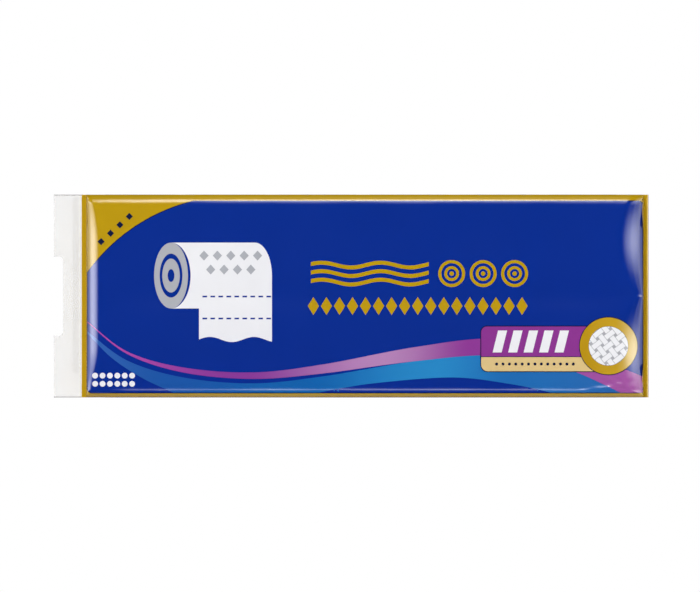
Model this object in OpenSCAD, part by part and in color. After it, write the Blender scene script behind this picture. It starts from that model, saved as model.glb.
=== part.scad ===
// Long film-wrapped pack of coreless toilet rolls, standing on its narrow side as it does on a
// shelf. The rolls stand upright in a block, pressed together. The bag is a gusseted tube of
// printed film drawn over the block: each end closes to a flat weld at mid depth, with its side
// gussets tucked in behind the flaps. One weld is folded flat against the end, and the other
// carries a clear handle film, folded back on itself along the middle of its grip hole.
// Millimetres. X runs along the pack, -Y is the printed front and Z is up. The origin is the
// middle of the resting face, under the centre of the block of rolls.

/* [Rolls] */
// Diameter of one roll as it is pressed in the pack
roll_d = 91; // [80:1:110]
// Height of one roll, which is the width of its sheet
roll_h = 101; // [90:1:115]
// Rolls side by side along the pack
roll_columns = 6; // [3:1:8]
// Layers of rolls, one standing on the other
roll_layers = 2; // [1:1:3]

/* [Film bag] */
// Slack between the block of rolls and the film on every side
film_gap = 0.5; // [0.2:0.1:2]
// Rounding of the long edges of the bag
edge_r = 8; // [3:0.5:12]
// How far the film sinks between two neighbouring rolls
valley_depth = 1; // [0:0.1:3]
// How far the film sinks where one layer of rolls stands on the next
joint_depth = 0.6; // [0:0.1:2]
// How far the slack film bulges out over the lower long edges
foot_bulge = 1.3; // [0:0.1:3]
// How far the top panel sags between the ends of the rolls
top_sag = 1.2; // [0:0.1:3]
// Depth of the gusset crease along the middle of the top panel
crease_depth = 0.4; // [0:0.1:1]
// Thickness of the folded plies that stand beside a gusset tuck
ear_t = 0.8; // [0.5:0.1:1.5]

/* [Handle end] */
// How far the flaps run out beyond the rolls to the weld
handle_rise = 3; // [3:0.5:15]
// Rounding of the flaps over the rolls beside a roll
handle_round = 10; // [5:1:20]
// Share of that rounding which the flaps keep between the layers of rolls
handle_waist = 1; // [0.2:0.05:1]

/* [Folded end] */
// How far the flaps run out beyond the rolls to the weld
folded_rise = 7.5; // [5:0.5:15]
// Rounding of the flaps over the rolls beside a roll
folded_round = 19; // [6:1:24]
// Share of that rounding which the flaps keep between the layers of rolls
folded_waist = 0.2; // [0.2:0.05:1]
// How far the weld runs straight out before it is folded back
fin_start = 3; // [0.5:0.5:6]
// Width of the weld beyond its fold
fin_w = 8; // [6:1:20]

/* [Welds] */
// Thickness of the welded plies
weld_t = 1.2; // [0.8:0.1:2]
// Length of the printed lip that the handle film is welded to
lip_w = 5; // [1:0.5:6]

/* [Handle] */
// Width of the handle as it lies folded
handle_w = 28; // [20:1:50]
// Thickness of the handle film, all its plies together
handle_t = 0.4; // [0.3:0.1:1]
// Space between the two leaves of the folded handle
leaf_gap = 0.8; // [0.4:0.1:2]
// Length of the grip hole along the pack's end
grip_l = 79; // [60:1:100]
// Width of the grip hole with the handle unfolded
grip_w = 19; // [14:1:30]
// Corner rounding of the grip hole
grip_r = 3; // [1:0.5:6]
// Distance from the lip to the heat-seal band on the handle
band_offset = 3; // [1:0.5:8]
// Width of the heat-seal band
band_w = 6; // [3:0.5:10]
// Distance of the band's lower end from the resting face
band_foot = 24; // [5:1:40]

/* [Hidden] */
$fn = 48;

block_l = roll_columns * roll_d + 2 * film_gap;
bag_h = roll_layers * roll_h + 2 * film_gap;
bag_half = roll_d / 2 + film_gap;
handle_ridge = block_l / 2 + handle_rise;
folded_ridge = block_l / 2 + folded_rise;
lip_end = handle_ridge + lip_w;

// What sets the form of each end: rise and rounding of its flaps, and their waist
handle_end = [handle_rise, handle_round, handle_waist];
folded_end = [folded_rise, folded_round, folded_waist];
// Rounding of the flaps at the creased corners of the bag, how far from a corner it grows to its
// full size, and how far from a joint between layers it is pulled in
crease_r = 4;
crease_fade = 60;
waist_fade = 36;
// Width of the rim of a roll's end over which the top panel rounds off into its sag
rim_w = 9;
// Height of the bulge's widest line and of its upper slope
bulge_z = 4.5;
bulge_slope = 7;
// How sharply the film dips into a joint between layers, and how a tuck deepens toward the weld
joint_sharpness = 6;
tuck_curve = 1.3;
// How far a tuck's wall leans in, and the flat strip between a rounded edge and the top panel
tuck_lean = 0.4;
edge_flat = 2;
// Half thickness of the bag at the weld line, and length of the web that closes a tuck there
ridge_half = weld_t / 2 + 0.4;
web = 0.4;
// The smallest corner rounding, on the thin welded lip, and how far the lip's edge is crowned
lip_round = 0.2;
lip_crown = 0.12;
// Rounding of the top panel where it dives into a tuck
tuck_round = 2;
// Inner bend of the folded weld
fin_bend = 0.9;
// The relief between rolls fades out over this length beside an end
relief_fade = 40;
// Height of the heat-seal band over the film
band_t = 0.15;

// Steps of the loft: along each end, along each roll, up half a wall, round a corner, across
// half the top and round the bend of the folded weld
end_steps = 9;
roll_steps = 6;
wall_steps = 10;
corner_steps = 2;
floor_steps = 5;
bend_steps = 6;

function smooth(t) = let (c = max(0, min(1, t))) c * c * (3 - 2 * c);

// Steepness of a flap between the front of the bag and the weld line
function flap_angle(rise) = atan2(bag_half - ridge_half, rise);

// Half depth of the bag at a distance u in from the weld line. The flap is a straight line up
// to the front, and an arc of radius r joins the two.
function flap_half(u, rise, r) =
    let (
        a = flap_angle(rise),
        tangent = r * tan(a / 2),
        arc_end = rise + tangent
    )
    u >= arc_end ? bag_half
    : u <= rise - tangent * cos(a) ? ridge_half + u * tan(a)
    : bag_half - r + sqrt(r * r - (arc_end - u) * (arc_end - u));

// Height of a point over the nearest joint between two layers of rolls
function over_joint(z) =
    min([for (k = [1:1:roll_layers - 1]) abs(z - bag_h * k / roll_layers), bag_h]);

// The creased corners and the joints between layers hold the flap's arc tight, and it opens out
// beside each roll
function flap_round(z, end) =
    let (beside = end[2] + (1 - end[2]) * min(over_joint(z) / waist_fade, 1))
    crease_r + (end[1] - crease_r) * beside * smooth(min(z, bag_h - z) / crease_fade);

// Length of an end, from the weld line to where its widest arc meets the front
function end_length(end) = end[0] + end[1] * tan(flap_angle(end[0]) / 2);

// How far the film sinks at a point of the front or the back. Slack film gathers over the lower
// edges, and bulges out there.
function sink(x, z, u) =
    let (
        between_rolls = (1 + cos(360 * x / roll_d + 180 * (roll_columns % 2))) / 2,
        held = smooth(min(z, bag_h - z) / (roll_h / 2)),
        joint = (1 - cos(360 * z / bag_h * roll_layers)) / 2,
        level = roll_layers > 1 ? pow(1 - joint, joint_sharpness) * smooth(min(z, bag_h - z) / roll_h) : 0
    )
    smooth(u / relief_fade) * (
        valley_depth * between_rolls * held + joint_depth * level
        - foot_bulge * (1 - smooth((z - bulge_z) / bulge_slope)));

// How far the top panel lies below the top of the bag, at a distance y across from its middle.
// It is level over each roll's end and at the long edges, sags between them and is creased
// along the middle.
function top_drop(x, y, u) =
    let (
        roll_x = (floor(x / roll_d + (roll_columns % 2) / 2) + (1 - roll_columns % 2) / 2) * roll_d,
        beyond = norm([x - roll_x, y]) - (roll_d / 2 - rim_w / 2)
    )
    smooth((u - crease_fade / 5) / rim_w / 2)
        * (top_sag * smooth(beyond / rim_w) * smooth((bag_half - edge_r - abs(y)) / rim_w)
            + crease_depth * (1 - smooth(abs(y) / rim_w)));

// One station of the loft: where its section's middle is, how far the section is turned, which
// end it belongs to, and how far in from that end's weld line it lies. A negative distance is
// out on the welded lip.
function station(x, y, turn, end, inward) = [x, y, turn, end, inward];
function end_of(s) = s[3];
function inward_of(s) = s[4];
function is_weld(s) = inward_of(s) < 0;

function half_at(s, z) =
    is_weld(s) ? weld_t / 2
    : flap_half(inward_of(s), end_of(s)[0], flap_round(z, end_of(s)))
        - sink(s[0], z, inward_of(s) - end_length(end_of(s)));

// How open a section is, from 0 at the weld line to 1 where the bag has its full depth
function openness(s) = smooth((half_at(s, bag_h) - ridge_half) / (bag_half - ridge_half));

function corner_at(s) =
    is_weld(s) ? lip_round : lip_round * 2 + (edge_r - lip_round * 2) * openness(s);

// Length of a tuck, in from the weld line
function tuck_length(s) = end_of(s)[0] + tuck_round;

// Depth of a gusset tuck: the side panel folds in by half the depth of the bag at the weld
function tuck_at(s) =
    is_weld(s) ? 0 : bag_half * pow(max(0, 1 - inward_of(s) / tuck_length(s)), tuck_curve);

// Width of the plies left standing beside a tuck
function ear_at(s) =
    is_weld(s) ? weld_t / 4
    : let (
        beside = min(ear_t, half_at(s, bag_h) * 0.6),
        clear = corner_at(s) + edge_flat
    )
    beside + (clear - beside) * smooth(inward_of(s) / tuck_length(s));

// Front upper quarter of a section, from mid height up the wall, round the corner and over the
// top to the middle, as [across, up]. One that will be turned down takes the lower wall's form
// and has no sag.
function quarter(s, is_top) =
    let (
        round_r = min(corner_at(s), ear_at(s) * 0.8),
        shoulder = bag_h - round_r,
        top_half = half_at(s, is_top ? bag_h : 0),
        inner = top_half - ear_at(s),
        foot = inner - min(tuck_lean, inner * 0.3),
        floor_z = bag_h - tuck_at(s),
        crown = is_weld(s) ? lip_crown : 0,
        over = concat(
            [for (k = [1:corner_steps])
                let (a = 90 * k / corner_steps)
                [-top_half + round_r * (1 - cos(a)), shoulder + round_r * sin(a)]],
            [[-inner, bag_h]],
            [for (k = [0:floor_steps])
                let (y = foot * (1 - k / floor_steps))
                [-y, floor_z - (is_top && !is_weld(s) ? top_drop(s[0], y, inward_of(s)) : 0)]]
        )
    )
    concat(
        [for (k = [0:wall_steps])
            let (z = bag_h / 2 + (shoulder - bag_h / 2) * sin(90 * k / wall_steps))
            [-half_at(s, is_top ? z : bag_h - z), z]],
        [for (p = over) [p[0], p[1] - crown * abs(p[0]) / top_half]]
    );

// Half a section, from mid height at the front over the top to mid height at the rear
function half_section(s, is_top) =
    let (q = quarter(s, is_top))
    concat(q, [for (i = [len(q) - 2:-1:0]) [-q[i][0], q[i][1]]]);

// A whole section as points in space: the upper half, and another turned down to be the bottom
function ring(s) =
    let (
        upper = half_section(s, true),
        turned = half_section(s, false),
        lower = [for (i = [len(turned) - 2:-1:1]) [turned[i][0], bag_h - turned[i][1]]]
    )
    [for (p = concat(upper, lower)) [s[0] - sin(s[2]) * p[0], s[1] + cos(s[2]) * p[0], p[1]]];

// The folded weld runs out from the ridge, bends round and lies along the rear flap
function fin_stations() =
    let (
        bend_r = fin_bend + weld_t / 2,
        turn = 180 - flap_angle(folded_rise),
        x = folded_ridge + fin_start
    )
    concat(
        [station(folded_ridge + web, 0, 0, folded_end, -1)],
        [for (k = [0:bend_steps])
            let (a = turn * k / bend_steps)
            station(x + bend_r * sin(a), bend_r * (1 - cos(a)), a, folded_end, -1)],
        [station(x + bend_r * sin(turn) + fin_w * cos(turn),
                 bend_r * (1 - cos(turn)) + fin_w * sin(turn), turn, folded_end, -1)]
    );

function bag_stations() =
    let (
        left_l = end_length(handle_end),
        right_l = end_length(folded_end),
        from = -handle_ridge + left_l,
        to = folded_ridge - right_l,
        steps = roll_steps * roll_columns
    )
    concat(
        [station(-lip_end, 0, 0, handle_end, -1),
         station(-handle_ridge - web, 0, 0, handle_end, -1)],
        [for (k = [0:end_steps])
            let (u = left_l * (1 - cos(90 * k / end_steps)))
            station(-handle_ridge + u, 0, 0, handle_end, u)],
        [for (k = [1:steps - 1])
            let (
                x = from + (to - from) * k / steps,
                near_left = x < 0
            )
            station(x, 0, 0, near_left ? handle_end : folded_end,
                    near_left ? x + handle_ridge : folded_ridge - x)],
        [for (k = [end_steps:-1:0])
            let (u = right_l * (1 - cos(90 * k / end_steps)))
            station(folded_ridge - u, 0, 0, folded_end, u)],
        fin_stations()
    );

// Triangles across one section, between each point of the front and the same point of the rear
function cap(n) =
    [for (i = [0:n / 2 - 1])
        let (a = (i + n * 3 / 4) % n, b = (a + 1) % n, c = (n * 3 / 2 - b) % n, d = (n * 3 / 2 - a) % n)
        each concat(b == c ? [] : [[a, b, c]], a == d ? [] : [[a, c, d]])];

// Skin over a row of sections with the same number of points, closed at both ends
module loft(sections) {
    n = len(sections[0]);
    last = len(sections) - 1;
    polyhedron(
        points = [for (s = sections) each s],
        faces = concat(
            cap(n),
            [for (j = [0:last - 1], i = [0:n - 1])
                let (a = j * n + i, b = j * n + (i + 1) % n)
                each [[a, a + n, b], [b, a + n, b + n]]],
            [for (f = cap(n)) [last * n + f[2], last * n + f[1], last * n + f[0]]]
        ),
        convexity = 6
    );
}

module wrapped_rolls() {
    color("#0c2e8f") loft([for (s = bag_stations()) ring(s)]);
}

module rounded_rectangle(l, w, r) {
    square([l - 2 * r, w], center = true);
    square([l, w - 2 * r], center = true);
    for (x = [-1, 1], y = [-1, 1])
        translate([x * (l / 2 - r), y * (w / 2 - r)]) circle(r);
}

// The handle film seen from above: the front leaf on the weld's plane, the fold and the rear leaf
module handle_profile() {
    fold_r = leaf_gap / 2 + handle_t;
    leaf_l = handle_w - fold_r;
    fold_y = leaf_gap / 2 + handle_t / 2;
    translate([-lip_end - leaf_l, -handle_t / 2]) square([leaf_l, handle_t]);
    translate([-lip_end - leaf_l, leaf_gap + handle_t / 2]) square([leaf_l - band_offset, handle_t]);
    translate([-lip_end - leaf_l, fold_y]) difference() {
        circle(fold_r);
        circle(leaf_gap / 2);
        translate([0, -2 * fold_r]) square([2 * fold_r, 4 * fold_r]);
    }
}

// The grip hole is punched across the fold, so each leaf shows half of it
module grip_hole() {
    translate([-lip_end - handle_w, 0, bag_h / 2])
        rotate([90, 0, 0])
            linear_extrude(4 * (leaf_gap + handle_t), center = true)
                rounded_rectangle(grip_w, grip_l, grip_r);
}

module heat_seal_band() {
    translate([-lip_end - band_offset - band_w / 2, 0, 0]) rotate([90, 0, 0])
        linear_extrude(handle_t / 2 + band_t) {
            translate([-band_w / 2, band_foot + band_w / 2])
                square([band_w, bag_h - band_foot - band_w / 2 - band_offset]);
            translate([0, band_foot + band_w / 2]) circle(band_w / 2);
        }
}

module carry_handle() {
    color("#f0f0f0") {
        difference() {
            linear_extrude(bag_h) handle_profile();
            grip_hole();
        }
        heat_seal_band();
    }
}

wrapped_rolls();
carry_handle();
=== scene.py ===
"""Looks of a long film-wrapped pack of coreless toilet rolls.

The bag is gusseted, printed polyethylene film drawn tight over twelve rolls, six long and two
high. Lengths below are in millimetres and turn to metres where a mesh is made. X runs along the
pack, -Y is the printed front and Z is up, as in the frame.
"""
import math

import bpy
import numpy as np
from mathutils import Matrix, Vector
from mathutils.geometry import delaunay_2d_cdt


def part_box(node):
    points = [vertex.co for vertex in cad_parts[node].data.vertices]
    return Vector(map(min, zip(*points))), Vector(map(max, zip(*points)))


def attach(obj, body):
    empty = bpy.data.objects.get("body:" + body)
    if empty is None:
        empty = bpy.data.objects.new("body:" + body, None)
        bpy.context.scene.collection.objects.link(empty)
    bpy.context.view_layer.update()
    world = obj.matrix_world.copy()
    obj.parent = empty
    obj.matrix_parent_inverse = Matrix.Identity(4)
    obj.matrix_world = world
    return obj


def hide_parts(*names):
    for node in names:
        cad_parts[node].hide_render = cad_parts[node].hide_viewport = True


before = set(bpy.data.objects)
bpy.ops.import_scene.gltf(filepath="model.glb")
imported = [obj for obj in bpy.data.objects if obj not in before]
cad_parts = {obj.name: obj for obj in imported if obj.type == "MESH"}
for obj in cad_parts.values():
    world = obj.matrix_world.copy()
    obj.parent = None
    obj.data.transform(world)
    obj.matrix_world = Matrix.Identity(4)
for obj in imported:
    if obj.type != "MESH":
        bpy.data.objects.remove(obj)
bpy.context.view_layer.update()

MM = 0.001
bag_low, bag_high = [[c / MM for c in corner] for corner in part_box("wrapped_rolls")]
handle_low, handle_high = [[c / MM for c in corner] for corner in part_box("carry_handle")]

# The bag. Its length and height are those of its solid. Its flaps, left lip and long edges follow
# the highlights in the photograph more closely than the solid does.
ROLL_D = 91.0
FILM_GAP = 0.5
BAG_H = bag_high[2] - bag_low[2]
BAG_HALF = ROLL_D / 2 + FILM_GAP
ROLL_H = BAG_H / 2
TOP_EDGE_R, FOOT_EDGE_R = 9.0, 8.0

# The welds, and the ridges at which the flaps leave them
LIP_END = bag_low[0]
LIP_W = 4.5
WELD_T = 1.2
WEB = 0.4
LEFT_RIDGE, RIGHT_RIDGE = LIP_END + LIP_W, 281.5
RIDGE_HALF = WELD_T / 2 + 0.05
FIN_BEND, FIN_START, FIN_W = 0.9, 2.5, 8.0

# The flaps: how far they rise along the pack, and their greatest rounding into the walls. At the
# left the rounding fades to a crease towards the head and the foot. At the right it swells to a
# belly on each layer, with a waist at the joint between them.
LEFT_RISE, LEFT_ROUND = 1.0, 12.6
RIGHT_RISE, RIGHT_ROUND = 1.0, 27.0
CREASE_R, HEAD_FADE, FOOT_FADE = 3.4, 54.0, 52.0
WAIST_R, BELLY_Z, BELLY_SPAN = 6.0, 55.0, 55.0

# The side panels tuck in behind the flaps, with an ear of doubled film beside each tuck
PLY_R = 0.4
EAR_T = 0.8
TUCK_ROUND = 2.0

# How far the walls sink between two rolls and at the joint of the layers, how they bulge over the
# foot, and the slack and creases in their film, which fade towards the ends
VALLEY_DEPTH, JOINT_DEPTH = 1.0, 0.6
FOOT_BULGE, BULGE_Z, BULGE_SLOPE = 1.2, 3.1, 6.5
SLACK_DEPTH, RELIEF_FADE = 0.22, 40.0
CREASED_L, CREASE_FADE = 90.0, 9.0

# The top over the roll ends
END_FLAT = 12.0
TOP_INSET, TOP_SAG, CREASE_DEPTH, RIM_W = 0.1, 1.2, 0.4, 9.0
DIMPLE_DEPTH, DIMPLE_R = 0.4, 8.0

# Steps of the film's mesh: up half a wall to its rim, over the rim, round a long edge, across half
# a narrow side and round the bend of the folded weld. Between the rims every section has its
# points at the same heights, so that facets don't cut across the steep flaps.
WALL_STEPS, RIM_STEPS, EDGE_STEPS, TOP_STEPS, BEND_STEPS = 54, 8, 9, 16, 8
RIM_H = 14.0


def smooth(t):
    c = np.clip(t, 0.0, 1.0)
    return c * c * (3 - 2 * c)


def from_edge(z):
    """Distance from the nearer long edge of the bag."""
    return np.minimum(z, BAG_H - z)


# The form of the film

def flap_angle(rise):
    return math.atan2(BAG_HALF - RIDGE_HALF, rise)


def left_round(z):
    """The corners hold the film tight at the handle's end, the lower one over a longer stretch."""
    head = 1 - (1 - np.clip((BAG_H - z) / HEAD_FADE, 0.0, 1.0)) ** 2
    return CREASE_R + (LEFT_ROUND - CREASE_R) * head * smooth(z / FOOT_FADE)


def right_round(z):
    """At the folded end the joint between the layers holds the film too, so each layer has a belly."""
    from_belly = (np.abs(z - BAG_H / 2) - BELLY_Z) / BELLY_SPAN
    return WAIST_R + (RIGHT_ROUND - WAIST_R) * np.maximum(1 - from_belly ** 2, 0.0)


def end_length(rise, r):
    return rise + r * math.tan(flap_angle(rise) / 2)


def flap_half(u, rise, r):
    """Half depth of the bag at a distance u in from a weld line."""
    angle = flap_angle(rise)
    tangent = r * math.tan(angle / 2)
    arc_end = rise + tangent
    straight_end = rise - tangent * math.cos(angle)
    straight = RIDGE_HALF + u * math.tan(angle)
    rounding = BAG_HALF - r + np.sqrt(np.maximum(r * r - (arc_end - u) ** 2, 0.0))
    return np.where(u >= arc_end, BAG_HALF, np.where(u <= straight_end, straight, rounding))


def from_weld(x):
    """Distance from the weld line of the nearer end."""
    return np.where(x < 0, x - LEFT_RIDGE, RIGHT_RIDGE - x)


def rise_at(x):
    return np.where(x < 0, LEFT_RISE, RIGHT_RISE)


def fold(x, z, at, angle, length, width, height):
    """One soft crease in the film: a ridge along a line from a point, fading at both its ends."""
    a = math.radians(angle)
    along = (x - at[0]) * math.cos(a) + (z - at[1]) * math.sin(a)
    across = -(x - at[0]) * math.sin(a) + (z - at[1]) * math.cos(a)
    t = np.clip(along / length, 0.0, 1.0)
    reach = np.sin(math.pi * t) ** 0.8
    wide = width * (0.4 + 0.6 * t)
    return height * reach * np.exp(-(across / wide) ** 2)


# Single puckers near the folded end's lower corner: where each starts along the pack and up it,
# and its heading, length, width and height
PUCKERS = [
    (216.0, 6.8, 6, 44, 2.2, 0.42),
    (230.0, 6.2, 13, 38, 2.1, 0.40),
    (247.0, 8.0, 20, 28, 2.0, 0.34),
]

# Fans of creases at the corners, where the gussets pull the film: the left end (-1) or the right
# (1), its foot (-1) or its head (1), how strong, how long, and the creases' angles to the X axis
FANS = [
    (1, 1, 0.10, 30, (26, 44)),
    (1, -1, 0.30, 46, (9, 22, 40)),
    (-1, 1, 0.14, 20, (10, 34)),
    (-1, -1, 0.20, 26, (6, 15, 38)),
]
FAN_IN, FAN_UP = 7.0, 5.0


def creases(x, z, side):
    """How far the creases at the corners stand proud of the film."""
    total = np.zeros_like(x)
    for px, pz, heading, length, width, height in PUCKERS:
        total += fold(x, z, (px, pz), heading, length, width, height)
    for end, top, strength, length, angles in FANS:
        corner_x = RIGHT_RIDGE - FAN_IN if end > 0 else LEFT_RIDGE + FAN_IN
        corner_z = BAG_H - FAN_UP if top > 0 else FAN_UP
        for k, angle in enumerate(angles):
            wobble = 1.0 + 0.3 * math.sin(2.3 * k + 1.7 * end + side)
            heading = angle + 3 * math.sin(1.9 * k + side)
            heading = heading if top < 0 else -heading
            heading = 180 - heading if end > 0 else heading
            width = 2.2 + 0.6 * (k % 3)
            total += fold(x, z, (corner_x, corner_z), heading, length * wobble, width, strength * wobble)
    return total


def relief(x, z, side):
    """How far the film sinks (positive) or stands proud of the plain form, front or back.

    The lazy waves are slack in the film. Their lengths share no factor, so none of it repeats.
    """
    u = from_weld(x)
    left_length = end_length(LEFT_RISE, left_round(z))
    right_length = end_length(RIGHT_RISE, right_round(z))
    body = smooth((u - np.where(x < 0, left_length, right_length)) / RELIEF_FADE)
    between_rolls = (1 + np.cos(2 * math.pi * x / ROLL_D)) / 2
    held = smooth(from_edge(z) / ROLL_H * 2)
    joint = (1 - np.cos(4 * math.pi * z / BAG_H)) / 2
    level = (1 - joint) ** 6 * smooth(from_edge(z) / ROLL_H)
    lazy = np.sin(x / 31.0 + 0.6 * side + z / 47.0) * np.sin(z / 23.0 + 0.4 * side + x / 83.0)
    bulge = FOOT_BULGE * (1 - smooth((z - BULGE_Z) / BULGE_SLOPE))
    sunk = VALLEY_DEPTH * between_rolls * held + JOINT_DEPTH * level + SLACK_DEPTH * lazy - bulge
    return body * sunk - creases(x, z, side) * smooth(u / CREASE_FADE)


def edge_round(x, upper):
    """Rounding of the long edges, which shrinks to the width of the plies beside a tuck."""
    u = from_weld(x)
    half = np.where(x < 0, flap_half(u, LEFT_RISE, CREASE_R), flap_half(u, RIGHT_RISE, CREASE_R))
    full = np.where(upper, TOP_EDGE_R, FOOT_EDGE_R)
    open_r = PLY_R + (full - PLY_R) * smooth((half - RIDGE_HALF) / (BAG_HALF - RIDGE_HALF))
    beside = EAR_T + (open_r - EAR_T) * smooth(u / (rise_at(x) + TUCK_ROUND))
    return np.minimum(open_r, beside)


def film_half(x, z, side):
    """Half depth of the film, with the rounding of the long edges."""
    u = from_weld(x)
    left = flap_half(u, LEFT_RISE, left_round(z))
    right = flap_half(u, RIGHT_RISE, right_round(z))
    wall = np.where(x < 0, left, right) - relief(x, z, side)
    edge_r = edge_round(x, z > BAG_H / 2)
    over = np.maximum(edge_r - from_edge(z), 0.0)
    return wall - (edge_r - np.sqrt(np.maximum(edge_r ** 2 - over ** 2, 0.0)))


def tuck_depth(x):
    """The side panel folds in by half the depth of the bag at a weld line."""
    tuck_l = rise_at(x) + TUCK_ROUND
    return BAG_HALF * np.maximum((tuck_l - from_weld(x)) / tuck_l, 0.0) ** 1.3


def top_drop(x, y):
    """The film over the roll ends: level on each roll, sagging between them, creased in the middle.

    A coreless roll keeps a small hole where the winding spindle was, which shows as a dimple.
    """
    nearest = (np.floor(x / ROLL_D) + 0.5) * ROLL_D
    from_axis = np.hypot(x - nearest, y)
    sag = TOP_SAG * smooth((from_axis - ROLL_D / 2 + RIM_W / 2) / RIM_W)
    dimple = DIMPLE_DEPTH * np.exp(-(from_axis / DIMPLE_R) ** 2)
    at_edge = smooth((BAG_HALF - TOP_EDGE_R - np.abs(y)) / RIM_W)
    soft_crease = 0.6 * (1 - smooth(np.abs(y) / RIM_W)) + 0.5 * np.exp(-(y / 0.9) ** 2)
    crease = TOP_INSET * at_edge + CREASE_DEPTH * soft_crease
    inward = smooth((from_weld(x) - END_FLAT) / RIM_W / 2)
    return inward * (sag * at_edge + dimple * at_edge + crease)


# Making meshes

SHARP_DEG = 42


def mesh_object(name, points, faces, material):
    """A piece from points in millimetres; every piece here rides on the one body."""
    mesh = bpy.data.meshes.new(name)
    mesh.from_pydata([tuple(float(c) * MM for c in p) for p in points], [], faces)
    mesh.update()
    mesh.shade_smooth()
    mesh.set_sharp_from_angle(angle=math.radians(SHARP_DEG))
    mesh.materials.append(material)
    piece = bpy.data.objects.new(name, mesh)
    bpy.context.collection.objects.link(piece)
    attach(piece, "root")
    return piece


def inside_loops(points, loops):
    """Which points lie inside a set of outlines, where an outline in another is a hole."""
    inside = np.zeros(len(points), bool)
    px, pz = points[:, 0], points[:, 1]
    for loop in loops:
        a = np.asarray(loop, float)
        b = np.roll(a, -1, axis=0)
        for (ax, az), (bx, bz) in zip(a, b):
            if az == bz:
                continue
            crosses = (az > pz) != (bz > pz)
            inside ^= crosses & (px < (bx - ax) * (pz - az) / (bz - az) + ax)
    return inside


def stepped(loop, step):
    """An outline with no stretch longer than a step."""
    out = []
    for (ax, az), (bx, bz) in zip(loop, loop[1:] + loop[:1]):
        n = max(1, math.ceil(math.hypot(bx - ax, bz - az) / step))
        out += [(ax + (bx - ax) * k / n, az + (bz - az) * k / n) for k in range(n)]
    return out


def filled(loops, step, grid):
    """Triangles that fill outlines, with a net of points inside so that they can follow a curve."""
    loops = [stepped(loop, step) for loop in loops]
    lines = [p for loop in loops for p in loop]
    edges = []
    start = 0
    for loop in loops:
        n = len(loop)
        edges += [(start + k, start + (k + 1) % n) for k in range(n)]
        start += n
    outline = np.array(lines)
    low, high = outline.min(axis=0), outline.max(axis=0)
    net = np.array([(x, z) for x in grid[0] for z in grid[1]
                    if low[0] < x < high[0] and low[1] < z < high[1]])
    if len(net):
        net = net[inside_loops(net, loops)]
        clear = [np.min(np.abs(outline - p).sum(axis=1)) > 0.3 * step for p in net]
        lines += [tuple(p) for p in net[clear]]
    verts, _, faces, _, _, _ = delaunay_2d_cdt([Vector(p) for p in lines], edges, [], 0, 1e-5)
    flat = np.array([(v.x, v.y) for v in verts])
    faces = np.array([f for f in faces if len(f) == 3])
    middles = flat[faces].mean(axis=1)
    return flat, faces[inside_loops(middles, loops)]


def axis_net(low, high, step, fine, ends):
    """Grid lines from low to high, finer near the ends where the film turns."""
    out = [low]
    while out[-1] < high:
        near = min(out[-1] - low, high - out[-1])
        out.append(out[-1] + (fine if near < ends else step))
    return out[1:-1]


def end_lines(rise, radius, step=1.6):
    """Distances from a weld line of the film's mesh lines, closest where the flap turns."""
    turn, length = rise + 0.5, end_length(rise, radius)
    return np.concatenate([
        np.linspace(0, 0.66 * rise, 6),
        np.linspace(0.7 * rise, turn, 10),
        turn + (length - turn) * np.linspace(0, 1, 17)[1:] ** 1.2,
        np.arange(length + step, CREASED_L, step),
    ])


# The mesh lines along the pack, which the bag and its print share. They are close as far in from
# the ends as the corners' creases reach.
LEFT_LINES = LEFT_RIDGE + end_lines(LEFT_RISE, LEFT_ROUND)
RIGHT_LINES = (RIGHT_RIDGE - end_lines(RIGHT_RISE, RIGHT_ROUND))[::-1]
MIDDLE_LINES = np.linspace(LEFT_LINES[-1], RIGHT_LINES[0], 102)[1:-1]
NET_X = np.concatenate([LEFT_LINES, MIDDLE_LINES, RIGHT_LINES])
NET_Z = axis_net(0, BAG_H, 2.0, 0.7, 8)


def film_points(flat, side, lift):
    """Points on the front (side -1) or the back (side 1) of the film, lifted along its normal."""
    x, z = flat[:, 0], flat[:, 1]
    d = 0.05
    y = film_half(x, z, side)
    slope_x = (film_half(x + d, z, side) - film_half(x - d, z, side)) / (2 * d)
    slope_z = (film_half(x, z + d, side) - film_half(x, z - d, side)) / (2 * d)
    steep = np.sqrt(1 + slope_x ** 2 + slope_z ** 2)
    lift = lift + STEEP_LIFT * smooth((steep - 2) / 6)
    return np.column_stack([x - lift * slope_x / steep, side * (y + lift / steep),
                            z - lift * slope_z / steep])


def top_points(flat, side, lift):
    """Points on the top (side 1) or bottom (side -1) panel of the bag."""
    x, y = flat[:, 0], flat[:, 1]
    up = BAG_H - top_drop(x, y) + lift if side > 0 else np.zeros_like(x) - lift
    return np.column_stack([x, y, up])


# The first layer of print lies this far over the film, and each further one by an ink's thickness.
# Where the film is steep the print lies a little higher, so that less film shows through it.
INK_LIFT, INK_T = 0.2, 0.06
STEEP_LIFT = 0.25
NET_Y = axis_net(-BAG_HALF, BAG_HALF, 3.0, 1.0, 4)


def printed(name, loops, ink, level, side=-1, step=1.5, place=film_points):
    """A field of ink on the film: one thin closed skin, at the height of its level."""
    flat, faces = filled(loops, step, (NET_X, NET_Z if place is film_points else NET_Y))
    lift = INK_LIFT + INK_T * (level - 1)
    over = place(flat, side, lift)
    under = place(flat, side, lift - INK_T * 1.4)
    turned = (side < 0) == (place is film_points)
    n = len(flat)
    skin = [tuple(f) if turned else tuple(f[::-1]) for f in faces.tolist()]
    back = [tuple(i + n for i in f[::-1]) for f in skin]
    sides = dict.fromkeys((a, b) for f in skin for a, b in zip(f, f[1:] + f[:1]))
    rim = [(b, a, a + n, b + n) for a, b in sides if (b, a) not in sides]
    return mesh_object(name, np.vstack([over, under]), skin + back + rim, ink)


# Materials

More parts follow.
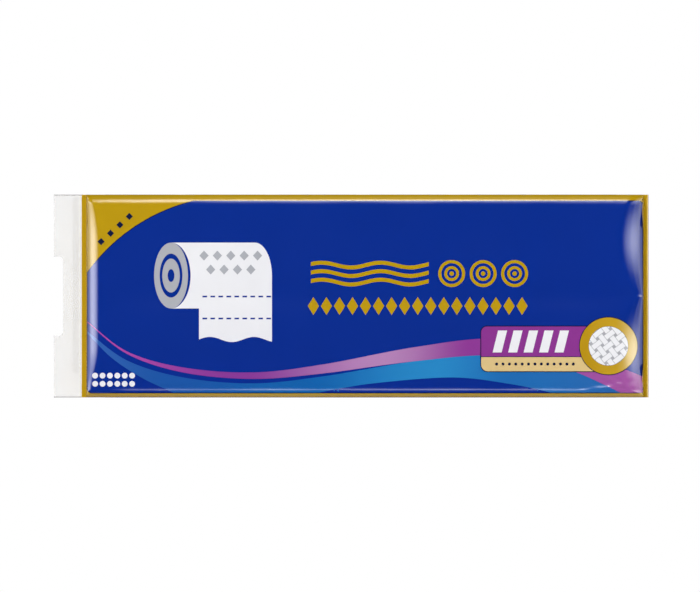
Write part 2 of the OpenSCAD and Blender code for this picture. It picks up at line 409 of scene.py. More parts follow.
def linear(hex_colour):
    """An sRGB hex colour as the linear colour that a shader takes."""
    parts = [int(hex_colour[i:i + 2], 16) / 255 for i in (1, 3, 5)]
    return [c / 12.92 if c <= 0.04045 else ((c + 0.055) / 1.055) ** 2.4 for c in parts] + [1.0]


def add(tree, kind, inputs=None, **settings):
    """A node with its settings, whose inputs are values or the outputs of other nodes."""
    node = tree.nodes.new(kind)
    for name, value in settings.items():
        setattr(node, name, value)
    for name, value in (inputs or {}).items():
        if isinstance(value, bpy.types.NodeSocket):
            tree.links.new(value, node.inputs[name])
        else:
            node.inputs[name].default_value = value
    return node


def new_material(name):
    material = bpy.data.materials.new(name)
    material.use_nodes = True
    tree = material.node_tree
    tree.nodes.clear()
    return material, tree


def finish_material(tree, shader):
    add(tree, "ShaderNodeOutputMaterial", {"Surface": shader.outputs[0]})


# Real sizes of what the film shows: the haze of blown film, the slack between the rolls, and the
# drift of the ink's density
HAZE_MM = 1.4
SLACK_MM = 26.0
DENSITY_MM = 55.0
FILM_GLOSS, FILM_IOR = 0.15, 1.5


def film_bump(tree, place):
    """Tight blown film is nearly flat: a slow slackness, and a fine orange peel over it."""
    slack = add(tree, "ShaderNodeTexNoise",
                {"Vector": place, "Scale": 1 / (SLACK_MM * MM), "Detail": 2.0, "Roughness": 0.5})
    haze = add(tree, "ShaderNodeTexNoise",
               {"Vector": place, "Scale": 1 / (HAZE_MM * MM), "Detail": 1.0, "Roughness": 0.5})
    soft = add(tree, "ShaderNodeBump",
               {"Height": slack.outputs["Fac"], "Strength": 0.14, "Distance": 0.9 * MM})
    return add(tree, "ShaderNodeBump",
               {"Height": haze.outputs["Fac"], "Normal": soft.outputs["Normal"],
                "Strength": 0.04, "Distance": 0.05 * MM})


def finish_film(tree, place, colour):
    """The film's clear, glossy skin over the colour of its ink."""
    finish_material(tree, add(tree, "ShaderNodeBsdfPrincipled", {
        "Base Color": colour,
        "Roughness": FILM_GLOSS,
        "IOR": FILM_IOR,
        "Normal": film_bump(tree, place).outputs["Normal"],
    }))


def printed_film(name, ink, thin_ink=None):
    """Gloss polyethylene film, gravure printed on its inside: even ink under a clear skin.

    The ink is flat and saturated, and all the gloss is the film's own. A slow drift of the ink's
    density keeps a large field from looking like paint.
    """
    material, tree = new_material(name)
    place = add(tree, "ShaderNodeTexCoord").outputs["Object"]
    density = add(tree, "ShaderNodeTexNoise",
                  {"Vector": place, "Scale": 1 / (DENSITY_MM * MM), "Detail": 2.0})
    colour = add(tree, "ShaderNodeMix",
                 {"Factor": density.outputs["Fac"], 6: linear(ink), 7: linear(thin_ink or ink)},
                 data_type="RGBA")
    finish_film(tree, place, colour.outputs[2])
    return material


def shaded_film(name, stops):
    """Printed film whose ink runs from colour to colour along the pack, as vignette print does. On the
    badge, the run to a lighter gold is a painted highlight.
    """
    material, tree = new_material(name)
    place = add(tree, "ShaderNodeTexCoord").outputs["Object"]
    along = add(tree, "ShaderNodeSeparateXYZ", {"Vector": place})
    share = add(tree, "ShaderNodeMapRange",
                {"Value": along.outputs["X"], "From Min": stops[0][0] * MM, "From Max": stops[-1][0] * MM})
    ramp = add(tree, "ShaderNodeValToRGB", {"Fac": share.outputs["Result"]})
    ramp.color_ramp.interpolation = "EASE"
    span = stops[-1][0] - stops[0][0]
    elements = ramp.color_ramp.elements
    elements[0].color, elements[1].color = linear(stops[0][1]), linear(stops[-1][1])
    for x, colour in stops[1:-1]:
        elements.new((x - stops[0][0]) / span).color = linear(colour)
    finish_film(tree, place, ramp.outputs["Color"])
    return material


PLEAT_MM, RIB_MM = 2.4, 1.2
HOT_CUT_MM = 1.0


def clear_film(name, pleat_mm, tint, alpha, cut_tint=None, cut_alpha=None):
    """Unprinted blown film, milky with its own haze, and drawn into fine pleats along the pull.

    Where it is cut off with a hot wire, it has a denser, greyer line along its upper and lower edge.
    """
    material, tree = new_material(name)
    place = add(tree, "ShaderNodeTexCoord").outputs["Object"]
    stretched = add(tree, "ShaderNodeMapping", {"Vector": place, "Scale": (0.08, 1.0, 1.0)})
    pleats = add(tree, "ShaderNodeTexNoise",
                 {"Vector": stretched.outputs["Vector"], "Scale": 1 / (pleat_mm * MM), "Detail": 3.0})
    bump = add(tree, "ShaderNodeBump",
               {"Height": pleats.outputs["Fac"], "Strength": 0.2, "Distance": 0.1 * MM})
    # The film's colour goes a little darker or lighter with the pleats.
    tone = add(tree, "ShaderNodeMapRange", {
        "Value": pleats.outputs["Fac"],
        "From Min": 0.3,
        "From Max": 0.7,
        "To Min": 0.98,
        "To Max": 1.01,
    })
    height = add(tree, "ShaderNodeSeparateXYZ", {"Vector": place}).outputs["Z"]
    above = add(tree, "ShaderNodeMath", {0: height, 1: BAG_H / 2 * MM}, operation="SUBTRACT")
    from_middle = add(tree, "ShaderNodeMath", {0: above.outputs[0]}, operation="ABSOLUTE")
    at_cut = add(tree, "ShaderNodeMapRange",
                 {"Value": from_middle.outputs[0], "From Min": (BAG_H / 2 - HOT_CUT_MM) * MM,
                  "From Max": (BAG_H / 2 - HOT_CUT_MM / 3) * MM})
    cover = add(tree, "ShaderNodeMapRange",
                {"Value": at_cut.outputs["Result"], "To Min": alpha, "To Max": cut_alpha or alpha})
    film = add(tree, "ShaderNodeMix",
               {"Factor": at_cut.outputs["Result"], 6: linear(tint), 7: linear(cut_tint or tint)},
               data_type="RGBA")
    colour = add(tree, "ShaderNodeMix", {"Factor": 1.0, 6: film.outputs[2], 7: tone.outputs["Result"]},
                 data_type="RGBA", blend_type="MULTIPLY")
    finish_material(tree, add(tree, "ShaderNodeBsdfPrincipled", {
        "Base Color": colour.outputs[2],
        "Roughness": 0.32,
        "IOR": FILM_IOR,
        "Alpha": cover.outputs["Result"],
        "Normal": bump.outputs["Normal"],
    }))
    return material


gold_ink = printed_film("gold_ink_film", "#c09b0a", "#b8940e")
blue_ink = printed_film("blue_ink_film", "#042d91", "#042b8c")
navy_ink = printed_film("navy_ink_film", "#101a3c")
silver_ink = printed_film("silver_ink_film", "#b6b8be", "#a9abb2")
white_ink = printed_film("white_ink_film", "#f3f3f5", "#ececf0")
grey_ink = printed_film("grey_ink_film", "#b4b5ba", "#a2a3a9")
cream_ink = printed_film("cream_ink_film", "#e3c88c", "#dcc084")
label_ink = printed_film("label_ink_film", "#8f3792", "#8a358d")

# Vignettes: places along the pack from its middle, each with the colour there. The ribbons' runs are
# print. The badge's gold is print that lightens to a painted highlight at its right.
purple_ink = shaded_film("purple_ribbon_film", [(-276, "#b04aa6"), (-120, "#8a3a97"), (20, "#b785b8"),
                                                (110, "#8f3a95"), (200, "#a050a0"), (281, "#a357a1")])
water_ink = shaded_film("blue_ribbon_film", [(-276, "#2f5fae"), (-190, "#1a56a6"), (-60, "#1062ac"),
                                             (70, "#2789c6"), (150, "#1f6cb4"), (281, "#2c68b0")])
# The badge ring's gold lightens towards its right side: a painted highlight over gold print.
badge_gold_painted_highlight_ink = shaded_film("badge_gold_painted_highlight_film", [(215, "#bb9212"), (252, "#c39c22"), (276, "#d9c079")])

handle_clear = clear_film("handle_clear_film", PLEAT_MM, "#efeff0", 0.19, "#9c9c9c", 0.66)
seal_clear = clear_film("handle_seal_film", RIB_MM, "#eeeeee", 0.035)


# The bag

WELD_EDGE_R = 0.2
SHOULDER_W, PLY_FOOT_W = 0.15, 0.4


def quarter(x, weld, side, top):
    """A quarter of a section, from mid height over the long edge to the middle of a narrow side.

    Past the long edge a narrow level shoulder comes first, and then the side panel, which is
    tucked in beside a weld.
    """
    if weld:
        edge_r, deep = WELD_EDGE_R, 0.0
    else:
        at = np.array([x])
        edge_r, deep = float(edge_round(at, top)[0]), float(tuck_depth(at)[0])
    share = 1 - (1 - np.linspace(0, 1, WALL_STEPS + 1)) ** 1.3
    up = np.concatenate([BAG_H / 2 + (BAG_H / 2 - RIM_H) * share,
                         np.linspace(BAG_H - RIM_H, BAG_H - edge_r, RIM_STEPS + 1)[1:]])
    turn = np.radians(np.linspace(0, 90, EDGE_STEPS + 1)[1:])
    z = np.concatenate([up, BAG_H - edge_r + edge_r * np.sin(turn)])
    if weld:
        over = np.maximum(z - (BAG_H - edge_r), 0.0)
        y = WELD_T / 2 - (edge_r - np.sqrt(np.maximum(edge_r ** 2 - over ** 2, 0.0)))
    else:
        y = film_half(np.full_like(z, x), z if top else BAG_H - z, side)
    inner = y[-1] - min(SHOULDER_W, y[-1] * 0.2)
    foot = inner - min(PLY_FOOT_W, inner * 0.3)
    across = np.linspace(foot, 0, TOP_STEPS + 1)
    sunk = top and not weld
    drop = top_drop(np.full_like(across, x), across) if sunk else np.zeros_like(across)
    y = np.concatenate([y, [inner], across])
    z = np.concatenate([z, [BAG_H], BAG_H - deep - drop])
    return np.column_stack([side * y, z if top else BAG_H - z])


def ring(x, y, turn, weld):
    """A whole section, turned about the weld's line where the weld is folded over."""
    flat = np.vstack([
        quarter(x, weld, -1, True),
        quarter(x, weld, 1, True)[::-1][1:],
        quarter(x, weld, 1, False)[1:],
        quarter(x, weld, -1, False)[::-1][1:-1],
    ])
    a = math.radians(turn)
    return np.column_stack([x - math.sin(a) * flat[:, 0], y + math.cos(a) * flat[:, 0], flat[:, 1]])


def folded_weld_rings():
    """The right weld runs out from its ridge, bends round and lies along the rear flap."""
    bend_r = FIN_BEND + WELD_T / 2
    full = 180 - math.degrees(flap_angle(RIGHT_RISE))
    x = RIGHT_RIDGE + FIN_START
    rings = [ring(RIGHT_RIDGE + WEB, 0, 0, True)]
    for turn in np.linspace(0, full, BEND_STEPS + 1):
        a = math.radians(turn)
        rings.append(ring(x + bend_r * math.sin(a), bend_r * (1 - math.cos(a)), turn, True))
    a = math.radians(full)
    rings.append(ring(x + bend_r * math.sin(a) + FIN_W * math.cos(a),
                      bend_r * (1 - math.cos(a)) + FIN_W * math.sin(a), full, True))
    return rings


def make_bag():
    rings = [ring(LIP_END, 0, 0, True), ring(LEFT_RIDGE - WEB, 0, 0, True)]
    rings += [ring(x, 0, 0, False) for x in NET_X]
    rings += folded_weld_rings()
    n, last = len(rings[0]), len(rings) - 1
    faces = [(j * n + i, (j + 1) * n + i, (j + 1) * n + (i + 1) % n, j * n + (i + 1) % n)
             for j in range(last) for i in range(n)]
    faces += [tuple(range(n)), tuple(last * n + i for i in reversed(range(n)))]
    bag = mesh_object("printed_bag", np.vstack(rings), faces, gold_ink)
    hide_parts("wrapped_rolls")


make_bag()


# Outlines of the print, with X from the middle of the pack and Z from its base

def ellipse(at, half_w, half_h, start=0, end=360, steps=49):
    return [(at[0] + half_w * math.cos(math.radians(a)), at[1] + half_h * math.sin(math.radians(a)))
            for a in np.linspace(start, end, steps)]


def arc(at, radius, start, end, steps):
    return ellipse(at, radius, radius, start, end, steps)


def circle(at, radius, steps=64):
    return arc(at, radius, 0, 360, steps + 1)[:-1]


def rounded(low, high, radii):
    """A rectangle with rounded corners, from the lower left one round by the right."""
    corners = [(low[0], low[1], 180), (high[0], low[1], 270),
               (high[0], high[1], 0), (low[0], high[1], 90)]
    inward = [(1, 1), (-1, 1), (-1, -1), (1, -1)]
    out = []
    for (x, z, start), (ix, iz), r in zip(corners, inward, radii):
        out += arc((x + ix * r, z + iz * r), r, start, start + 90, 7) if r else [(x, z)]
    return out


def curve(points, steps=10):
    """A smooth line through a few points."""
    ends = [points[0]] + points + [points[-1]]
    out = []
    for a, b, c, d in zip(ends, ends[1:], ends[2:], ends[3:]):
        for k in range(steps):
            t = k / steps
            out.append(tuple(0.5 * (2 * q + (r - p) * t + (2 * p - 5 * q + 4 * r - s) * t ** 2
                                    + (3 * q - p - 3 * r + s) * t ** 3) for p, q, r, s in zip(a, b, c, d)))
    return out + [points[-1]]


def clipped(loop, window):
    """The part of an outline inside a convex window, which runs anticlockwise."""
    for (ax, az), (bx, bz) in zip(window, window[1:] + window[:1]):
        depths = [(bx - ax) * (z - az) - (bz - az) * (x - ax) for x, z in loop]
        kept = []
        for k, (p, d) in enumerate(zip(loop, depths)):
            q, e = loop[k - 1], depths[k - 1]
            if (d >= 0) != (e >= 0):
                t = e / (e - d)
                kept.append((q[0] + (p[0] - q[0]) * t, q[1] + (p[1] - q[1]) * t))
            if d >= 0:
                kept.append(p)
        loop = kept
    return loop


def mirrored(loops):
    """The same print on the back reads the same way round, so its outlines are turned over."""
    return [[(LEFT_RIDGE + RIGHT_RIDGE - x, z) for x, z in loop][::-1] for loop in loops]


def print_on(side, name, loops, ink, level, step=1.5):
    where = "front" if side < 0 else "back"
    return printed(f"{where}_{name}", loops if side < 0 else mirrored(loops), ink, level, side, step)


# The blue field and its keyline end a little short of the ridges of the welds
KEYLINE, RIDGE_GOLD = 0.8, 0.9
FIELD_LOW = (LEFT_RIDGE + RIDGE_GOLD + KEYLINE, 4.9)
FIELD_HIGH = (RIGHT_RIDGE - RIDGE_GOLD - KEYLINE, 196.4)
FIELD_R = 4.4
CORNER_FOOT, CORNER_HEAD, CORNER_BULGE = (FIELD_LOW[0], 125.0), (-169.0, FIELD_HIGH[1]), 11.5


def corner_arc(grow=0.0):
    """The round corner that the gold keeps at the upper left, from its head to its foot."""
    (ax, az), (bx, bz) = CORNER_FOOT, CORNER_HEAD
    chord = math.hypot(bx - ax, bz - az)
    radius = chord ** 2 / (8 * CORNER_BULGE) + CORNER_BULGE / 2
    nx, nz = (bz - az) / chord, -(bx - ax) / chord
    cx = (ax + bx) / 2 + nx * (radius - CORNER_BULGE)
    cz = (az + bz) / 2 + nz * (radius - CORNER_BULGE)
    start = math.degrees(math.atan2(bz - cz, bx - cx))
    end = math.degrees(math.atan2(az - cz, ax - cx))
    return arc((cx, cz), radius + grow, start, end, 26)


def blue_field(grow=0.0):
    low = (FIELD_LOW[0] - grow, FIELD_LOW[1] - grow)
    high = (FIELD_HIGH[0] + grow, FIELD_HIGH[1] + grow)
    whole = rounded(low, high, (FIELD_R, FIELD_R, FIELD_R, 0))[:-1]
    return whole + [(min(max(x, low[0]), high[0]), min(z, high[1])) for x, z in corner_arc(grow)]


def wave_print(side):
    """Ribbons that fall from the left, run along the foot and swell up to the label."""
    left, bottom, right = FIELD_LOW[0], FIELD_LOW[1], FIELD_HIGH[0]
    over = curve([(left, 76), (-236, 46), (-180, 30), (-110, 25), (-40, 33), (50, 50), (130, 59),
                  (205, 49), (right, 21)])
    under = curve([(left, 75), (-236, 43.5), (-180, 25), (-110, 18.5), (-40, 24), (50, 36), (130, 42),
                   (200, 30), (258, bottom)])
    print_on(side, "purple_ribbon", [over + [(right, bottom)] + under[::-1]], purple_ink, 5)
    upper = curve([(left, 66), (-236, 37), (-180, 20), (-110, 14), (-40, 21), (50, 36), (130, 44),
                   (200, 32), (262, bottom)])
    lower = curve([(left, 64), (-252, 40), (-222, 20), (-190, bottom)])
    print_on(side, "blue_ribbon", [upper + lower[::-1]], water_ink, 3)
    hill = curve([(-44, bottom), (10, 14), (90, 20), (150, 13), (188, bottom)])
    print_on(side, "blue_shallow", [hill], blue_ink, 4)


def emblem_print(side):
    """A plain roll lying on its side, with its loose sheet hanging down, quilted and perforated."""
    end_at, end_w, end_h, roll_l, gap = (-192.0, 122.0), 17.0, 33.0, 84.0, 2.6
    far = (end_at[0] + roll_l, end_at[1])
    top, low = end_at[1] + end_h, end_at[1] - end_h
    sheet_foot, sheet_left = 58.0, end_at[0] + 28.0
    body = ellipse(end_at, end_w + gap, end_h, -90, 90, 25) + ellipse(far, end_w, end_h, 90, 0, 17)
    hem = np.linspace(far[0] + end_w, sheet_left, 31)
    body += [(x, sheet_foot + 2.6 * math.sin((x - sheet_left) / 7.0)) for x in hem]
    body.append((sheet_left, low))
    print_on(side, "emblem_roll", [body], white_ink, 4, step=2.0)
    turns = [ellipse(end_at, w, h)[:-1] for w, h in ((end_w, end_h), (11.4, 22.0), (8.8, 17.0))]
    turns.append(ellipse(end_at, 3.4, 6.4, steps=25)[:-1])
    print_on(side, "emblem_end", turns, silver_ink, 4, step=2.0)
    quilts = []
    for row in range(2):
        for k in range(5):
            x, z = end_at[0] + 33.0 + 13.4 * k + 6.7 * (row % 2), top - 13.0 - 14.0 * row
            if x < far[0] + 8:
                quilts.append([(x - 4.6, z), (x, z - 5.0), (x + 4.6, z), (x, z + 5.0)])
    print_on(side, "emblem_quilting", quilts, silver_ink, 5)
    dashes = []
    for z in (101.0, 79.0):
        for k in range(9):
            x = sheet_left + 3.5 + 8.0 * k
            dashes.append([(x, z - 0.8), (x + 4.6, z - 0.8), (x + 4.6, z + 0.8), (x, z + 0.8)])
    print_on(side, "emblem_perforation", dashes, blue_ink, 5)


def title_print(side):
    """In the title's place: three plies of paper as waves, three roll ends and a row of quilting."""
    x0, x1 = -56.0, 166.0
    for k in range(3):
        z = 132.5 - 8.5 * k
        xs = np.linspace(x0 + 4, x0 + 122, 60)
        ply = [(x, z + 2.4 * math.sin((x - x0) / 9.4)) for x in xs]
        upper = [(x, h + 2.0) for x, h in ply]
        lower = [(x, h - 2.0) for x, h in ply[::-1]]
        print_on(side, f"title_ply_{k + 1}", [upper + lower], gold_ink, 4)
    loops = []
    for k in range(3):
        at = (x0 + 145 + 31.5 * k, 124.0)
        loops += [circle(at, 13.5), circle(at, 10.4)]
        loops += [circle(at, 7.4, 40), circle(at, 4.6, 32), circle(at, 2.2, 16)]
    print_on(side, "title_rolls", loops, gold_ink, 4)
    count, high, z = 17, 9.0, 91.5
    pitch = (x1 - x0) / count
    wide = pitch * 0.43
    quilts = []
    for k in range(count):
        x = x0 + pitch * (k + 0.5)
        quilts.append([(x - wide, z), (x, z - high), (x + wide, z), (x, z + high)])
    print_on(side, "title_quilting", quilts, gold_ink, 4)


def label_print(side):
    """The label: a purple box over a cream strip, with slanted bars and a row of dots."""
    low, middle, high = (118.6, 26.2), 41.0, (240.0, 71.0)
    line_w = 0.9
    edge = rounded((low[0] - line_w, low[1] - line_w), (high[0], high[1] + line_w), (7.2, 0, 0, 6.4))
    print_on(side, "label_edge", [edge], navy_ink, 6)
    print_on(side, "label_box", [rounded((low[0], middle), high, (0, 0, 0, 5.6))], label_ink, 7)
    print_on(side, "label_strip", [rounded(low, (high[0], middle - 0.7), (6.4, 0, 0, 0))], cream_ink, 7)
    bars = []
    for k in range(5):
        x = 130.0 + 15.5 * k
        bars.append([(x, 45.0), (x + 9.0, 45.0), (x + 14.5, 67.0), (x + 5.5, 67.0)])
    print_on(side, "label_bars", bars, white_ink, 8)
    dots = [circle((134.0 + 6.4 * k, 33.4), 1.5, 16) for k in range(13)]
    print_on(side, "label_dots", dots, navy_ink, 8)


def badge_print(side):
    """The badge: a gold ring round a disc of woven paper strips."""
    at, outer, inner = (245.8, 51.5), 28.5, 19.7
    print_on(side, "badge_edge", [circle(at, outer + 0.8, 96), circle(at, inner - 0.8, 80)], navy_ink, 8)
    print_on(side, "badge_disc", [circle(at, inner - 0.3, 80)], grey_ink, 9)
    # The ring's gold grows lighter towards its right side, a painted highlight.
    print_on(side, "badge_ring", [circle(at, outer, 96), circle(at, inner, 80)], badge_gold_painted_highlight_ink, 10)
    rim = circle(at, inner - 0.2, 60)
    pitch, wide, tilt = 8.2, 4.9, math.radians(38)
    strips = []
    for row in range(-3, 4):
        for column in range(-3, 4):
            over = (row + column) % 2 == 0
            half = [(2 * pitch - wide - 1.0) / 2, wide / 2]
            half = half if over else half[::-1]
            corners = [(-half[0], -half[1]), (half[0], -half[1]), (half[0], half[1]), (-half[0], half[1])]
            turned = []
            for p, q in corners:
                p, q = p + column * pitch, q + row * pitch
                turned.append((at[0] + p * math.cos(tilt) - q * math.sin(tilt),
                               at[1] + p * math.sin(tilt) + q * math.cos(tilt)))
            strips.append(clipped(turned, rim))
    print_on(side, "badge_weave", [strip for strip in strips if len(strip) > 2], white_ink, 10)


def small_print(side):
    """The rolls in the pack as dots, and a row of diamonds on the gold corner."""
    dots = [circle((-268.0 + 7.4 * i, 13.6 + 8.2 * j), 2.9, 24) for i in range(6) for j in range(2)]
    print_on(side, "roll_dots", dots, white_ink, 4)
    gems = []
    for k in range(4):
        x, z, r = -262.0 + 9.4 * k, 156.0 + 8.4 * k, 3.6
        gems.append([(x - r, z), (x, z - r), (x + r, z), (x, z + r)])
    print_on(side, "corner_diamonds", gems, navy_ink, 2)


def print_side(side):
    print_on(side, "field_edge", [blue_field(KEYLINE), blue_field(-0.4)], navy_ink, 1)
    print_on(side, "blue_field", [blue_field()], blue_ink, 2)
    wave_print(side)
    emblem_print(side)
    title_print(side)
    label_print(side)
    badge_print(side)
    small_print(side)


print_side(-1)
print_side(1)
for up, name in ((1, "top"), (-1, "bottom")):
    panel = [rounded((-258.0, -30.0), (254.0, 30.0), (3, 3, 3, 3))]
    printed(f"{name}_blue_panel", panel, blue_ink, 0.2, up, 1.5, top_points)


# The handle

HANDLE_T, LEAF_GAP = 0.4, 0.8
FOLD_R = (LEAF_GAP + HANDLE_T) / 2
LEAF_L = (handle_high[0] - handle_low[0]) - FOLD_R - HANDLE_T / 2
FOLD_L = math.pi * FOLD_R
BAND_OFFSET, BAND_W, BAND_FOOT = 3.0, 6.0, 24.0
GRIP_L, GRIP_W, GRIP_R = 79.0, 19.0, 4.0
FILM_T, BAND_T, BAND_LIFT = 0.22, 0.08, 0.05
BACK_SHORT = 0.3


def sway(d, z):
    """The strip stands out of its plane: it bows a little, and is pleated along the pull."""
    free = smooth(d / 26)
    bow = 0.9 * np.sin(math.pi * z / BAG_H) * free
    fine = 0.012 * np.sin(z / 0.62 + 2.2 * np.sin(z / 13.0))
    coarse = 0.03 * np.sin(z / 1.9 + 1.6 * np.sin(z / 21.0 + 1))
    wave = 0.35 * np.sin(z / 15.0 + 0.8) * free
    return -(bow + wave) - (fine + coarse) * smooth(d / 6)


def handle_points(flat):
    """Places on the strip, laid flat, as points of the folded strip."""
    d, z = flat[:, 0], flat[:, 1]
    turned = np.clip((d - LEAF_L) / FOLD_R, 0.0, math.pi)
    back = np.maximum(d - LEAF_L - FOLD_L, 0.0)
    reach = np.minimum(d, LEAF_L) + FOLD_R * np.sin(turned) - back
    y = FOLD_R * (1 - np.cos(turned))
    return np.column_stack([LIP_END - reach, y + sway(reach, z), z])


def make_handle():
    strip_l = LEAF_L + FOLD_L + LEAF_L - BACK_SHORT
    fold_d = LEAF_L + FOLD_L / 2
    strip = [(0, 0), (strip_l, 0), (strip_l, BAG_H), (0, BAG_H)]
    hole = rounded((fold_d - GRIP_W / 2, (BAG_H - GRIP_L) / 2),
                   (fold_d + GRIP_W / 2, (BAG_H + GRIP_L) / 2), (GRIP_R,) * 4)
    leaf = np.linspace(0, LEAF_L - 1, 14)[1:]
    bend = LEAF_L + np.linspace(-0.5, FOLD_L + 0.5, 12)
    lines = np.concatenate([leaf, bend, np.linspace(LEAF_L + FOLD_L + 1, strip_l, 13)[:-1]])
    flat, faces = filled([strip, hole], 1.1, (lines, np.arange(0.6, BAG_H, 0.6)))
    handle = mesh_object("handle_film", handle_points(flat), [tuple(f) for f in faces.tolist()],
                         handle_clear)
    thick = handle.modifiers.new("film thickness", "SOLIDIFY")
    thick.thickness, thick.offset = FILM_T * MM, 0.0
    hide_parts("carry_handle")


def make_heat_seal():
    """The seal that holds the handle's plies together: a ribbed band with a round lower end."""
    r = BAND_W / 2
    low, high = (BAND_OFFSET, BAND_FOOT), (BAND_OFFSET + BAND_W, BAG_H - BAND_OFFSET)
    outline = rounded(low, high, (r - 0.01, r - 0.01, 0.5, 0.5))
    net = (np.linspace(low[0], high[0], 7)[1:-1], np.arange(low[1], high[1], 0.6))
    flat, faces = filled([outline], 0.8, net)
    points = handle_points(flat)
    points[:, 1] -= FILM_T / 2 + BAND_LIFT
    band = mesh_object("handle_heat_seal", points, [tuple(f) for f in faces.tolist()],
                       seal_clear)
    thick = band.modifiers.new("band thickness", "SOLIDIFY")
    thick.thickness, thick.offset = BAND_T * MM, 0.0


make_handle()
make_heat_seal()


# Stage: a pale floor, dark cards, soft lamps and the camera

def seen_directly(tree):
    """1 for rays that look at the background, straight or through gloss or clear film."""
    rays = add(tree, "ShaderNodeLightPath").outputs
    seen = add(tree, "ShaderNodeMath", {0: rays["Is Camera Ray"], 1: rays["Is Glossy Ray"]},
               operation="MAXIMUM")
    return add(tree, "ShaderNodeMath", {0: seen.outputs[0], 1: rays["Is Transmission Ray"]},
               operation="MAXIMUM").outputs[0]


def stage_plane(name, corners, colour, glow):
    """A sheet of matt paper that lets a share of a white background through."""
    mesh = bpy.data.meshes.new(name)
    mesh.from_pydata(corners, [], [(0, 1, 2, 3)])
    plane = bpy.data.objects.new(name, mesh)
    bpy.context.collection.objects.link(plane)
    material, tree = new_material(name + "_paper")
    share = add(tree, "ShaderNodeMath", {0: seen_directly(tree), 1: glow}, operation="MULTIPLY")
    paper = add(tree, "ShaderNodeBsdfDiffuse", {"Color": linear(colour)})
    white = add(tree, "ShaderNodeEmission", {"Color": (1, 1, 1, 1), "Strength": 1.0})
    finish_material(tree, add(tree, "ShaderNodeMixShader",
                              {0: share.outputs[0], 1: paper.outputs[0], 2: white.outputs[0]}))
    mesh.materials.append(material)
    return plane


def level_corners(half_w, front, back, z):
    return [(-half_w, front, z), (half_w, front, z), (half_w, back, z), (-half_w, back, z)]


# The stage's sizes and places are in metres
FLOOR_Z = -0.0002
FLOOR_FRONT, FLOOR_BACK, FLOOR_SIDE = -1.3, 3.0, 4.0
floor = stage_plane("pale_floor", level_corners(FLOOR_SIDE, FLOOR_FRONT, FLOOR_BACK, FLOOR_Z),
                    "#f6f6f6", 0.75)

# Dark cards stand before, behind and over the pack, as a photographer sets them, so that the gloss
# of the film mirrors them and its inks stay deep. Only reflections show them, and the film mirrors
# no floor.
floor.visible_glossy = False
CARD_AWAY, CARD_HALF, CARD_H = 9.0, 18.0, 9.0


def dark_card(name, corners):
    card = stage_plane(name, corners, "#1c1c1c", 0.0)
    card.visible_camera = card.visible_diffuse = card.visible_transmission = card.visible_shadow = False


for name, y in (("front_card", -CARD_AWAY), ("rear_card", CARD_AWAY)):
    dark_card(name, [(-CARD_HALF, y, -CARD_H), (CARD_HALF, y, -CARD_H),
                     (CARD_HALF, y, CARD_H), (-CARD_HALF, y, CARD_H)])
dark_card("ceiling_card", level_corners(CARD_HALF, -CARD_AWAY, CARD_AWAY, CARD_H))


def towards_lamp(azimuth, elevation):
    """Azimuth 0 is straight before the front and 90 at the right."""
    a, e = math.radians(azimuth), math.radians(elevation)
    return Vector((math.sin(a) * math.cos(e), -math.cos(a) * math.cos(e), math.sin(e)))


def key_lamp(name, azimuth, elevation, level):
    """A far, soft lamp behind a polariser: it lights the inks and does not show in the gloss."""
    light = bpy.data.lights.new(name, "SUN")
    light.energy, light.angle = level * math.pi, math.radians(16)
    lamp = bpy.data.objects.new(name, light)
    lamp.rotation_euler = (-towards_lamp(azimuth, elevation)).to_track_quat("-Z", "Y").to_euler()
    bpy.context.collection.objects.link(lamp)
    lamp.visible_glossy = False


def soft_lamp(name, azimuth, elevation, away, size, radiance, aim):
    """A softbox that faces its aim and only gives the film its sheen.

    As real ones do, it fades from its middle to its edges, and its radiance is that of the middle.
    """
    towards = towards_lamp(azimuth, elevation)
    light = bpy.data.lights.new(name, "AREA")
    light.shape = "RECTANGLE"
    light.size, light.size_y = size
    light.energy = radiance * math.pi * size[0] * size[1]
    lamp = bpy.data.objects.new(name, light)
    lamp.location = Vector(aim) + towards * away
    turn = (-towards).to_track_quat("-Z", "Y")
    lamp.rotation_euler = turn.to_euler()
    bpy.context.collection.objects.link(lamp)
    lamp.visible_camera = lamp.visible_diffuse = lamp.visible_transmission = False
    light.use_nodes = True
    tree = light.node_tree
    tree.nodes.clear()
    place = add(tree, "ShaderNodeNewGeometry").outputs["Position"]
    from_middle = add(tree, "ShaderNodeVectorMath", {0: place, 1: lamp.location}, operation="SUBTRACT")
    glow = 1.0
    for axis, length in (((1, 0, 0), size[0]), ((0, 1, 0), size[1])):
        along = add(tree, "ShaderNodeVectorMath", {0: from_middle.outputs[0], 1: turn @ Vector(axis)},
                    operation="DOT_PRODUCT")
        reach = add(tree, "ShaderNodeMath", {0: along.outputs["Value"]}, operation="ABSOLUTE")
        fade = add(tree, "ShaderNodeMapRange",
                   {"Value": reach.outputs[0], "From Max": length / 2, "To Min": 1.0, "To Max": 0.0},
                   interpolation_type="SMOOTHSTEP")
        glow = add(tree, "ShaderNodeMath", {0: glow, 1: fade.outputs["Result"]},
                   operation="MULTIPLY").outputs[0]
    lit = add(tree, "ShaderNodeEmission", {"Color": (1, 1, 1, 1), "Strength": glow})
    add(tree, "ShaderNodeOutputLight", {"Surface": lit.outputs[0]})


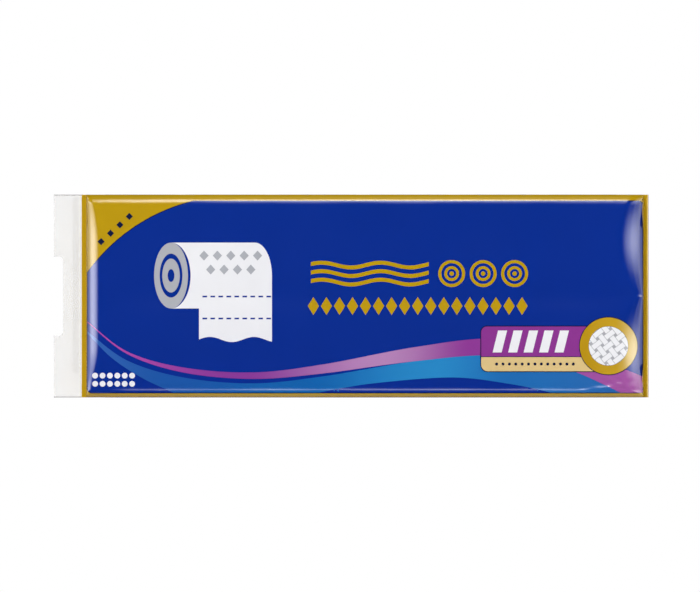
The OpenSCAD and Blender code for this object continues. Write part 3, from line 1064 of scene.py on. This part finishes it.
key_lamp("front_key", -4, 28, 0.66)
key_lamp("rear_key", 172, 36, 0.6)
soft_lamp("left_softbox", -58, 0, 3.2, (7.7, 1.6), 12.5, (-0.27, -0.03, 0.112))
soft_lamp("left_rim", -115, 0, 3.2, (4.5, 2.0), 1.3, (-0.27, -0.03, 0.112))
soft_lamp("top_softbox", 0, 36, 2.4, (1.2, 2.8), 17.0, (0.05, -0.045, 0.197))
soft_lamp("overhead_softbox", 0, 82, 2.4, (1.0, 2.6), 0.9, (0.1, 0, 0.2))
soft_lamp("right_softbox", 70, 0, 3.2, (7.1, 2.2), 6.8, (0.27, -0.03, 0.15))
soft_lamp("right_rim", 118, 0, 3.2, (3.7, 6.4), 1.3, (0.27, -0.03, 0.1))

ROOM_LIGHT = (0.27, 0.27, 0.27, 1)
world = bpy.data.worlds.new("pale_room")
bpy.context.scene.world = world
world.use_nodes = True
tree = world.node_tree
tree.nodes.clear()
room = add(tree, "ShaderNodeMix", {"Factor": seen_directly(tree), 6: ROOM_LIGHT, 7: (1, 1, 1, 1)},
           data_type="RGBA")
sky = add(tree, "ShaderNodeBackground", {"Color": room.outputs[2], "Strength": 1.0})
add(tree, "ShaderNodeOutputWorld", {"Surface": sky.outputs[0]})

# The photograph looks straight at the front from far off, with no perspective to see. In it the
# bag runs from 81.65 to 648.5 pixels across, and it stands on the line at 397.4.
PHOTO_W, PHOTO_H = 700, 592
PHOTO_LEFT, PHOTO_RIGHT, PHOTO_FOOT = 81.65, 648.5, 397.4
mm_per_px = (bag_high[0] - bag_low[0]) / (PHOTO_RIGHT - PHOTO_LEFT)
camera_data = bpy.data.cameras.new("photo_camera")
camera_data.type = "ORTHO"
camera_data.ortho_scale = PHOTO_W * mm_per_px * MM
camera_data.clip_end = 40
camera = bpy.data.objects.new("photo_camera", camera_data)
camera.location = ((bag_low[0] + (PHOTO_W / 2 - PHOTO_LEFT) * mm_per_px) * MM, -5.0,
                   (PHOTO_FOOT - PHOTO_H / 2) * mm_per_px * MM)
camera.rotation_euler = (math.pi / 2, 0, 0)
bpy.context.collection.objects.link(camera)
bpy.context.scene.camera = camera

bpy.context.scene.view_settings.view_transform = "Standard"
